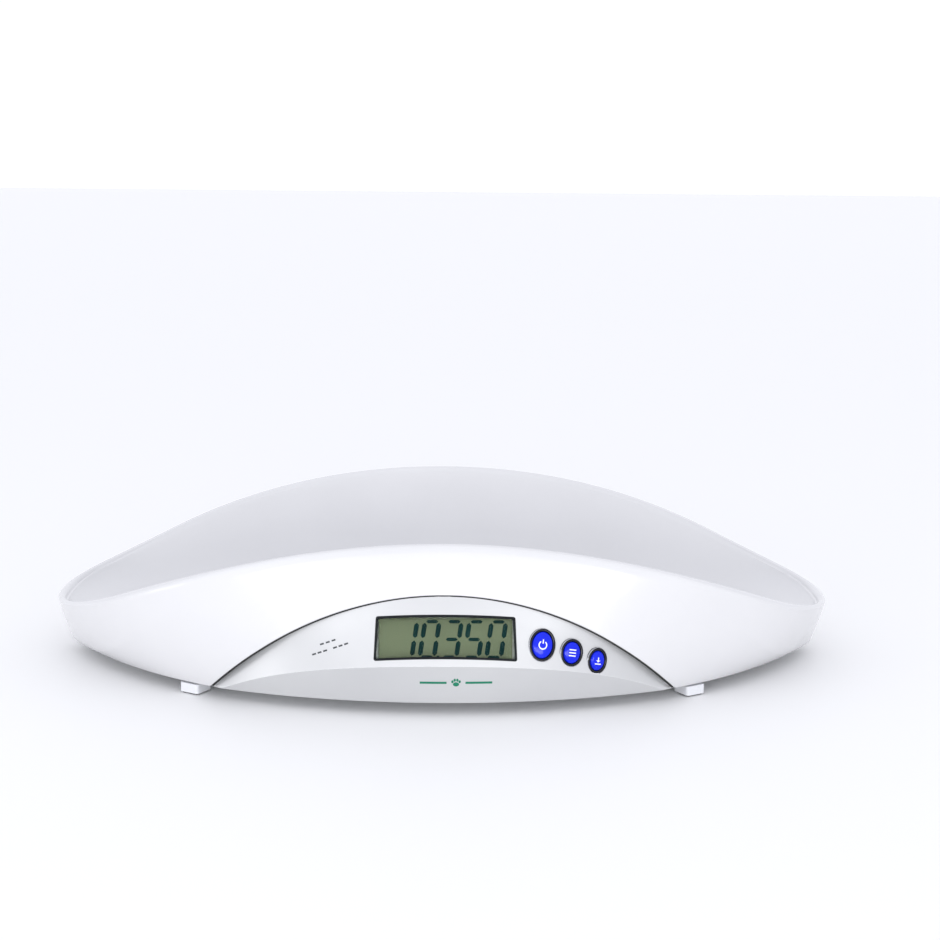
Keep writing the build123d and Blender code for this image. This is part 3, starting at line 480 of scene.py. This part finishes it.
def rim_row(outer, inner, share):
    """A point on the rounded rim: share 0 at its outer foot, 1 at its inner foot."""
    width = (inner - outer).length
    step = (inner - outer).normalized()
    radius = min(RIM_ROUND, width * RIM_FULLEST)
    if share <= RIM_OUTER_END:
        turn = share / RIM_OUTER_END * pi / 2
        return outer + step * radius * (1 - cos(turn)) + Vector((0, 0, -radius * (1 - sin(turn))))
    if share >= RIM_INNER_START:
        turn = (1 - share) / RIM_OUTER_END * pi / 2
        return inner - step * radius * (1 - cos(turn)) + Vector((0, 0, -radius * (1 - sin(turn))))
    flat = (share - RIM_OUTER_END) / (RIM_INNER_START - RIM_OUTER_END)
    return outer + step * lerp(radius, width - radius, flat)


def tray_column_points(column, crease):
    """One column's points: floor, bowl, rim, wall, facet, lower lip and the underside back to the middle."""
    angle, rim, inner_rim, low = column
    points = []
    bowl_top = inner_rim - RIM_ROUND
    floor_edge = bowl_point(angle, BOWL_FLOOR)
    middle = Vector((0.0, 0.0, BOWL_FLOOR))
    for share in FLOOR_SHARES:
        points.append(middle.lerp(floor_edge, share))
    for row in range(BOWL_ROWS + 1):
        turn = row / BOWL_ROWS * pi / 2
        points.append(bowl_point(angle, lerp(BOWL_FLOOR, bowl_top, 1 - cos(turn))))
    outer = skirt_point(angle, rim)
    inner = bowl_point(angle, inner_rim)
    inner.z = outer.z = (rim + inner_rim) / 2
    for share in RIM_SHARES:
        points.append(rim_row(outer, inner, share))
    wall_top = rim - RIM_ROUND
    for row in range(WALL_ROWS + 1):
        points.append(skirt_point(angle, lerp(wall_top, crease, row / WALL_ROWS)))
    for row in range(1, FACET_ROWS + 1):
        points.append(skirt_point(angle, lerp(crease, low + LIP, row / FACET_ROWS)))
    for share in LIP_TURNS:
        turn = share * pi / 2
        points.append(skirt_point(angle, low + LIP * (1 - sin(turn)), LIP * (1 - cos(turn))))
    points.append(skirt_point(angle, low, LIP))
    points.append(skirt_point(angle, low, SKIN))
    under_top = max(rim - UNDER_DROP, UNDER_LEAST)
    for row in range(1, UNDER_ROWS + 1):
        points.append(skirt_point(angle, lerp(low, under_top, row / UNDER_ROWS), SKIN))
    for row in range(UNDER_ROUND_ROWS + 1):
        turn = row / UNDER_ROUND_ROWS * pi / 2
        points.append(bowl_point(angle, lerp(under_top, BOWL_FLOOR - SKIN, sin(turn)), SKIN))
    under_middle = Vector((0.0, 0.0, BOWL_FLOOR - SKIN))
    under_edge = points[-1]
    for share in UNDER_SHARES:
        points.append(under_middle.lerp(under_edge, share))
    return points


def mesh_object(name, points, faces):
    """An object from points in millimetres and faces, with its normals made to agree."""
    mesh = bpy.data.meshes.new(name)
    mesh.from_pydata([point * MM for point in points], [], faces)
    work = bmesh.new()
    work.from_mesh(mesh)
    bmesh.ops.recalc_face_normals(work, faces=work.faces)
    work.to_mesh(mesh)
    work.free()
    piece = bpy.data.objects.new(name, mesh)
    bpy.context.scene.collection.objects.link(piece)
    return piece


def loop_mesh(name, loops, first, last):
    """A closed mesh from columns of points, closed by a middle point at each end."""
    rows = len(loops[0])
    count = len(loops)
    points = [point for loop in loops for point in loop]
    points += [first, last]
    faces = []
    for column in range(count):
        here, beside = column * rows, ((column + 1) % count) * rows
        for row in range(rows - 1):
            faces.append((here + row, beside + row, beside + row + 1, here + row + 1))
        faces.append((len(points) - 2, beside, here))
        faces.append((here + rows - 1, beside + rows - 1, len(points) - 1))
    return mesh_object(name, points, faces)


def shade(piece, angle):
    """Smooth shading, with edges sharper than an angle kept crisp."""
    for polygon in piece.data.polygons:
        polygon.use_smooth = True
    piece.data.set_sharp_from_angle(angle=angle)


def make_tray(materials):
    """The white bowl and skirt, with its rounded rim, lower facet and panel arch."""
    columns = tray_columns()
    creases = smooth_creases(columns)
    loops = [tray_column_points(column, crease) for column, crease in zip(columns, creases)]
    tray = loop_mesh("tray", loops, Vector((0, 0, BOWL_FLOOR)), Vector((0, 0, BOWL_FLOOR - SKIN)))
    shade(tray, TRAY_SHARP)
    tray.data.materials.append(materials["tray"])
    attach(tray, "root")
    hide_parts("tray_shell")


# ---------------------------------------------------------------- front panel's own surface
PANEL_CREASE_Y = -161.0
PANEL_CREASE_Z = 34.4
PANEL_LEAN = atan(16.0 / 41.4)
PANEL_RADII = ((4.0, 246.0), (32.0, 268.0), (82.0, 660.0))
# How fast the painted shadow strip in the arch seam widens towards the panel's ends.
SEAM_SPREAD = 130.0
CREASE_STEP = 0.1
CREASE_HALF = 148.0
RAY_START = -300.0
RAY_MISS = 300.0
SLOPE_STEP = 0.5


def upper_face(x, z):
    """Y of the panel's upper facet."""
    radius = 0.0
    for own, size in PANEL_RADII:
        weight = size
        for other, _ in PANEL_RADII:
            if other != own:
                weight *= (z - other) / (own - other)
        radius += weight
    nose = PANEL_CREASE_Y + tan(PANEL_LEAN) * (z - PANEL_CREASE_Z)
    return nose + radius - sqrt(radius ** 2 - x ** 2)


def node_tree(name):
    """The faces of a CAD node, for casting rays at."""
    node = frame["nodes"][name]
    vertices = [node.matrix_world @ vertex.co for vertex in node.data.vertices]
    return BVHTree.FromPolygons(vertices, [polygon.vertices for polygon in node.data.polygons])


panel_tree = node_tree("control_panel")


def panel_y(x, z):
    """Y of the panel's face at a place across and a height, or a place far behind where there is no panel."""
    hit = panel_tree.ray_cast(Vector((x, RAY_START, z)) * MM, Vector((0.0, 1.0, 0.0)))[0]
    return hit.y / MM if hit else RAY_MISS


class Patch:
    """A flat set of axes: an origin, two directions in its plane and its outward normal."""

    def __init__(self, origin, across, normal):
        self.origin = Vector(origin)
        self.normal = Vector(normal).normalized()
        self.across = Vector(across).normalized()
        self.up = self.normal.cross(self.across)

    def turned(self, angle):
        """The same axes turned about the normal."""
        across = cos(angle) * self.across + sin(angle) * self.up
        return Patch(self.origin, across, self.normal)

    def __call__(self, u, v, lift):
        """The point at a place in the plane, lifted off it."""
        return self.origin + u * self.across + v * self.up + lift * self.normal


def panel_patch(x, z):
    """Axes that touch the upper facet."""
    here = upper_face(x, z)
    slope_x = upper_face(x + 1, z) - here
    slope_z = upper_face(x, z + 1) - here
    return Patch((x, here, z), (1, slope_x, 0), (slope_x, -1, slope_z))


def wrapped(x0, z0, angle):
    """A way of laying a small drawing on the panel's face: its own u and v become across and up the panel."""
    def place(u, v, lift):
        x = x0 + u * cos(angle) - v * sin(angle)
        z = z0 + u * sin(angle) + v * cos(angle)
        here = panel_y(x, z)
        slope_x = panel_y(x + SLOPE_STEP, z) - here
        slope_z = panel_y(x, z + SLOPE_STEP) - here
        normal = Vector((slope_x, -SLOPE_STEP, slope_z)).normalized()
        return Vector((x, here, z)) + normal * lift
    return place


# ---------------------------------------------------------------- small pieces
STACK_SIDES = 72
OVAL_SIDES = 20
DASH_STEP = 1.0
DASH_OVERLAP = 1.02


def new_piece(name, vertices, faces, material, body):
    """A mesh piece that rides a body and takes a material slot."""
    piece = mesh_object(name, vertices, faces)
    piece.data.materials.append(material)
    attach(piece, body)
    return piece


def print_on(name, outlines, place, low, high, material, body):
    """Thin raised shapes laid by a placing function, between two lifts."""
    vertices, faces = [], []
    for outline in outlines:
        start, count = len(vertices), len(outline)
        vertices += [place(u, v, low) for u, v in outline]
        vertices += [place(u, v, high) for u, v in outline]
        faces.append(tuple(start + i for i in reversed(range(count))))
        faces.append(tuple(start + count + i for i in range(count)))
        for i in range(count):
            j = (i + 1) % count
            faces.append((start + i, start + j, start + count + j, start + count + i))
    return new_piece(name, vertices, faces, material, body)


def stack(name, patch, rows, closed, material, body, count=STACK_SIDES):
    """Elliptical rings joined into one skin: each row is a half width, a half height and a lift."""
    vertices, faces = [], []
    for half_width, half_height, lift in rows:
        for i in range(count):
            angle = 2 * pi * i / count
            vertices.append(patch(half_width * cos(angle), half_height * sin(angle), lift))
    last = len(rows) if closed else len(rows) - 1
    for row in range(last):
        here, above = row * count, (row + 1) % len(rows) * count
        for i in range(count):
            j = (i + 1) % count
            faces.append((here + i, here + j, above + j, above + i))
    if not closed:
        faces.append(tuple(reversed(range(count))))
        faces.append(tuple((len(rows) - 1) * count + i for i in range(count)))
    return new_piece(name, vertices, faces, material, body)


def bar(u, v, width, height):
    """A rectangle about a middle point."""
    half_width, half_height = width / 2, height / 2
    return [(u + a * half_width, v + b * half_height) for a, b in SQUARE]


def dash(u, v, width, height):
    """A rectangle laid as short neighbours, so that it follows a curved face."""
    count = max(1, round(width / DASH_STEP))
    own = width / count
    return [bar(u - width / 2 + own * (i + 0.5), v, own * DASH_OVERLAP, height) for i in range(count)]


def oval(u, v, half_width, half_height, count=OVAL_SIDES):
    """An ellipse about a middle point."""
    turns = [2 * pi * i / count for i in range(count)]
    return [(u + half_width * cos(turn), v + half_height * sin(turn)) for turn in turns]


def arc_band(radius, width, start, end, count=OVAL_SIDES):
    """Part of a flat ring about the origin."""
    turns = [lerp(start, end, i / count) for i in range(count + 1)]
    outer = [((radius + width / 2) * cos(turn), (radius + width / 2) * sin(turn)) for turn in turns]
    inner = [((radius - width / 2) * cos(turn), (radius - width / 2) * sin(turn)) for turn in turns]
    return outer + inner[::-1]


# ---------------------------------------------------------------- buttons
BUTTONS = (
    ("on_zero", 62.7, 45.7, 8.8, 10.7),
    ("mode", 81.8, 39.9, 7.8, 9.1),
    ("memory", 98.6, 33.4, 7.1, 8.5),
)
BUTTON_LEAN = -10.0 * pi / 180
RING_WIDTH = 1.9
CAP_GAP = 0.35
CAP_ROWS = (
    (1.0, -4.0), (1.0, 0.4), (0.975, 0.9), (0.92, 1.25), (0.82, 1.5), (0.68, 1.68), (0.5, 1.8), (0.3, 1.87),
    (0.1, 1.9),
)
RING_ROWS = (
    (0.0, -3.4), (0.0, 0.5), (0.08, 0.8), (0.25, 0.97), (0.45, 1.0), (0.65, 0.97), (0.85, 0.78), (0.97, 0.4),
    (1.0, -0.3), (1.0, -3.4),
)
RING_LIP_START = 6
RING_LIP_END = 8
BUTTON_SHARP = 0.8
SIGN_DEPTH = -0.1
SIGN_RISE = 0.07
ICON_STROKE = 0.75
SWITCH_RADIUS = 2.5
SWITCH_OPENING = 0.6
STORE_TRAY_STROKE = 0.7


def button_icons():
    """A generic white sign for each button: a switch sign, a list and a store."""
    top = pi / 2
    ring = arc_band(SWITCH_RADIUS, ICON_STROKE, top + SWITCH_OPENING, top + 2 * pi - SWITCH_OPENING)
    lines = [part for v in (1.9, 0.0, -1.9) for part in dash(0.0, v, 4.6, ICON_STROKE)]
    arrow = [bar(0.0, 1.0, ICON_STROKE, 2.4), [(-1.5, 0.3), (0.0, -1.0), (1.5, 0.3)]]
    return {
        "on_zero": [ring, bar(0.0, 2.3, ICON_STROKE, 2.6)],
        "mode": lines,
        "memory": dash(0.0, -2.0, 4.2, STORE_TRAY_STROKE) + arrow,
    }


def cap_lift(u, v, half_width, half_height):
    """Height of a cap's dome at a place on it."""
    share = sqrt((u / half_width) ** 2 + (v / half_height) ** 2)
    for (outer, low), (inner, high) in zip(CAP_ROWS[1:], CAP_ROWS[2:]):
        if inner <= share <= outer:
            return lerp(low, high, (outer - share) / (outer - inner))
    return CAP_ROWS[-1][1]


def make_buttons(materials):
    """Three domed caps, each in its own dark ring with a bright lip."""
    icons = button_icons()
    for name, x, z, half_width, half_height in BUTTONS:
        patch = panel_patch(x, z).turned(BUTTON_LEAN)
        body = f"button_{name}"
        cap_width = half_width - RING_WIDTH - CAP_GAP
        cap_height = half_height - RING_WIDTH - CAP_GAP
        rows = [(cap_width * share, cap_height * share, lift) for share, lift in CAP_ROWS]
        cap = stack(f"cap_{name}", patch, rows, False, materials["buttons"], body)
        shade(cap, BUTTON_SHARP)
        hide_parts(f"button_{name}")

        def on_dome(u, v, lift, patch=patch, size=(cap_width, cap_height)):
            return patch(u, v, cap_lift(u, v, *size) + lift)

        print_on(f"sign_{name}", icons[name], on_dome, SIGN_DEPTH, SIGN_RISE, materials["ink_white"], body)
        rows = []
        for share, lift in RING_ROWS:
            inset = RING_WIDTH * (1 - share)
            rows.append((half_width - inset, half_height - inset, lift))
        ring = stack(f"bezel_{name}", patch, rows, True, materials["rings"], "root")
        ring.data.materials.append(materials["ring_lip"])
        per_row = len(ring.data.polygons) // len(RING_ROWS)
        for index, polygon in enumerate(ring.data.polygons):
            polygon.material_index = int(RING_LIP_START <= index // per_row < RING_LIP_END)
        shade(ring, BUTTON_SHARP)
        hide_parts(f"ring_{name}")


# ---------------------------------------------------------------- display
DIGIT_PITCH = 14.15
DIGIT_WIDTH = 9.1
DIGIT_LOW = 6.4
DIGIT_HIGH = 29.0
DIGIT_RIGHT = 39.7
DIGIT_SLANT = 0.148
STROKE_WIDE = 3.0
STROKE_THIN = 2.2
STROKE_GAP = 0.7
READING = "10350"
POINT_AFTER = 1
SEGMENTS = {"0": "abcdef", "1": "bc", "3": "abcdg", "5": "acdfg"}
POINT_WIDTH = 1.5
POINT_HEIGHT = 1.8
GLASS_LIFT = -6.4
READING_DEPTH = 0.2
READING_RISE = 0.06


def stroke(start, end, width):
    """A segment with pointed ends, between two corners of a digit."""
    (u0, v0), (u1, v1) = start, end
    length = sqrt((u1 - u0) ** 2 + (v1 - v0) ** 2)
    along = ((u1 - u0) / length, (v1 - v0) / length)
    aside = (-along[1] * width / 2, along[0] * width / 2)
    first, last = STROKE_GAP, length - STROKE_GAP
    outline = ((first, 0), (first + width / 2, 1), (last - width / 2, 1),
               (last, 0), (last - width / 2, -1), (first + width / 2, -1))
    points = []
    for distance, side in outline:
        u = u0 + along[0] * distance + aside[0] * side
        v = v0 + along[1] * distance + aside[1] * side
        points.append((u, v))
    return points


def digit_strokes(digit, right):
    """The strokes of one figure whose right side stands at a place."""
    middle = (DIGIT_LOW + DIGIT_HIGH) / 2

    def corner(side, height):
        return right - (1 - side) * DIGIT_WIDTH - DIGIT_SLANT * (DIGIT_HIGH - height), height

    ends = {
        "a": ((0, DIGIT_HIGH), (1, DIGIT_HIGH)),
        "b": ((1, DIGIT_HIGH), (1, middle)),
        "c": ((1, middle), (1, DIGIT_LOW)),
        "d": ((0, DIGIT_LOW), (1, DIGIT_LOW)),
        "e": ((0, middle), (0, DIGIT_LOW)),
        "f": ((0, DIGIT_HIGH), (0, middle)),
        "g": ((0, middle), (1, middle)),
    }
    strokes = []
    for key in SEGMENTS[digit]:
        start, end = (corner(*place) for place in ends[key])
        strokes.append(stroke(start, end, STROKE_THIN if key in "adg" else STROKE_WIDE))
    return strokes


def make_reading(materials):
    """Dark figures on the display's glass."""
    slope = (0.0, -cos(PANEL_LEAN), sin(PANEL_LEAN))
    patch = Patch((0.0, PANEL_CREASE_Y, PANEL_CREASE_Z), (1.0, 0.0, 0.0), slope)
    outlines = []
    for index, digit in enumerate(READING):
        right = DIGIT_RIGHT - DIGIT_PITCH * (len(READING) - 1 - index)
        outlines += digit_strokes(digit, right)
        if index == POINT_AFTER:
            drop = DIGIT_SLANT * (DIGIT_HIGH - DIGIT_LOW)
            across = right - drop + (DIGIT_PITCH - DIGIT_WIDTH) / 2
            outlines.append(bar(across, DIGIT_LOW, POINT_WIDTH, POINT_HEIGHT))
    print_on("reading", outlines, patch, GLASS_LIFT - READING_DEPTH, GLASS_LIFT + READING_RISE,
             materials["segment"], "root")


# ---------------------------------------------------------------- marks on the panel, painted shadow in its arch seam and a painted highlight on its crease
PRINT_DEPTH = -0.1
MARK_RISE = 0.08
MARK_PLACE = (8.0, 22.5, 0.0)
PAW = (
    (0.0, -0.9, 2.0, 1.5), (-2.3, 1.0, 0.75, 1.05), (-0.85, 2.1, 0.75, 1.1), (0.85, 2.1, 0.75, 1.1),
    (2.3, 1.0, 0.75, 1.05),
)
MARK_BAR_U = 14.5
MARK_BAR_V = 0.2
MARK_BAR_WIDTH = 17.0
MARK_BAR_HEIGHT = 1.5
LABEL_RISE = 0.06
LABEL_PLACE = (-73.0, 44.0, 0.36)
LABEL_LINE = 2.2
LABEL_UPPER = (-4.0, 0.0, 4.0)
LABEL_LOWER = (-11.0, -7.2, -3.4, 3.4, 7.2, 11.0)
LABEL_DASH_WIDTH = 2.6
LABEL_DASH_HEIGHT = 1.0
SEAM_STEPS = 160
SEAM_LOW = 1.0
SEAM_THICKNESS = 0.8
SEAM_PROFILE = (
    (-0.2, 0.0), (-0.2, 0.9), (0.1, 1.0), (0.1 + PANEL_GAP, 1.0), (0.1 + PANEL_GAP, 0.0),
)
SEAM_DEPTH = -1.0
SEAM_RISE = 0.12
CREASE_STEPS = 120
CREASE_EASINGS = 3
CREASE_PROFILE = ((-0.55, 0.0), (-0.35, 0.75), (0.0, 1.0), (0.35, 0.75), (0.55, 0.0))
CREASE_DEPTH = -0.3
CREASE_RISE = 0.02
CREASE_SHARP = 1.2


def make_marks(materials):
    """A green paw between two bars, and a small two-line label, in place of any name."""
    mark = [oval(*toe) for toe in PAW]
    for u in (-MARK_BAR_U, MARK_BAR_U):
        mark += dash(u, MARK_BAR_V, MARK_BAR_WIDTH, MARK_BAR_HEIGHT)
    print_on("mark", mark, wrapped(*MARK_PLACE), PRINT_DEPTH, MARK_RISE, materials["ink_green"], "root")
    label = []
    for line, places in ((LABEL_LINE, LABEL_UPPER), (-LABEL_LINE, LABEL_LOWER)):
        label += [bar(u, line, LABEL_DASH_WIDTH, LABEL_DASH_HEIGHT) for u in places]
    print_on("label", label, wrapped(*LABEL_PLACE), PRINT_DEPTH, LABEL_RISE, materials["ink_grey"], "root")


def skirt_y(x, z):
    """Y of the skirt's front at a place across and a height."""
    half, centre, front, _, power_x, power_y = section_at(z)
    hull = centre - front * (1 - (abs(x) / half) ** power_x) ** (1 / power_y)
    return max(hull, facet_y(x, z, 0.0))


def front_y(x, z):
    """Y of whichever of the panel and the skirt stands further forward."""
    return min(panel_y(x, z), skirt_y(x, z))


def band_along(name, face, places, low, high, profile, material):
    """A thin bead swept along a face: each place gives a point and the direction and scale of its width."""
    vertices, faces = [], []
    count = len(profile)
    for x, z, aside_x, aside_z in places:
        for offset, lift in profile:
            point_x, point_z = x + aside_x * offset, z + aside_z * offset
            vertices.append(Vector((point_x, face(point_x, point_z) - lerp(low, high, lift), point_z)))
    for i in range(len(places) - 1):
        for j in range(count):
            k = (j + 1) % count
            faces.append((i * count + j, i * count + k, (i + 1) * count + k, (i + 1) * count + j))
    faces.append(tuple(range(count)))
    faces.append(tuple((len(places) - 1) * count + j for j in range(count)))
    return new_piece(name, vertices, faces, material, "root")


def crease_z(x):
    """Height at which the panel stands furthest forward, where its two facets meet."""
    steps = round((PANEL_CREASE_Z - SKIRT_BOTTOM) / CREASE_STEP)
    heights = [SKIRT_BOTTOM + 1 + i * CREASE_STEP for i in range(steps)]
    return min(heights, key=lambda z: panel_y(x, z))


def make_arch_seam(materials):
    """A dark rubber strip in the joint round the panel's arch: painted shadow standing in for the shade in
    that gap, made wider towards its ends where that shade is thicker.
    """
    reach = asin((SKIRT_BOTTOM + SEAM_LOW - PANEL_ARC_CENTRE_Z) / PANEL_ARC_RADIUS)
    places = []
    for i in range(SEAM_STEPS + 1):
        turn = lerp(pi - reach, reach, i / SEAM_STEPS)
        x, z = PANEL_ARC_RADIUS * cos(turn), PANEL_ARC_CENTRE_Z + PANEL_ARC_RADIUS * sin(turn)
        # The strip widens away from the middle, following the painted shadow, which is thicker near the
        # panel's ends.
        spread = SEAM_THICKNESS + abs(x) / SEAM_SPREAD
        places.append((x, z, spread * cos(turn), spread * sin(turn)))
    band_along("arch_seam_shadow", front_y, places, SEAM_DEPTH, SEAM_RISE, SEAM_PROFILE, materials["rubber"])


def make_crease_line(materials):
    """A lighter strip along where the panel's two facets meet, a painted highlight standing in for the light
    caught on that crease, as far as both its edges lie on the panel.
    """
    stations = [lerp(-CREASE_HALF, CREASE_HALF, i / CREASE_STEPS) for i in range(CREASE_STEPS + 1)]
    heights = [crease_z(x) for x in stations]
    for _ in range(CREASE_EASINGS):
        heights[1:-1] = [sum(heights[i - 1:i + 2]) / 3 for i in range(1, len(heights) - 1)]
    low, high = CREASE_PROFILE[0][0], CREASE_PROFILE[-1][0]
    places = []
    for x, z in zip(stations, heights):
        if max(panel_y(x, z + low), panel_y(x, z + high)) < RAY_MISS:
            places.append((x, z, 0.0, 1.0))
    # Painted highlight: the strip's lighter finish stands in for the light caught along the crease.
    line = band_along("crease_highlight_strip", panel_y, places, CREASE_DEPTH, CREASE_RISE, CREASE_PROFILE,
                      materials["painted_crease_highlight"])
    shade(line, CREASE_SHARP)


# ---------------------------------------------------------------- all pieces
materials = make_materials()
slots = {part["node"]: part["material_slot"] for part in frame["record"]["subparts"]}
make_camera()
make_studio()
for name in frame["nodes"]:
    if name != "tray_shell":
        finish_node(name, materials, slots)
make_tray(materials)
make_buttons(materials)
make_reading(materials)
make_marks(materials)
make_arch_seam(materials)
make_crease_line(materials)
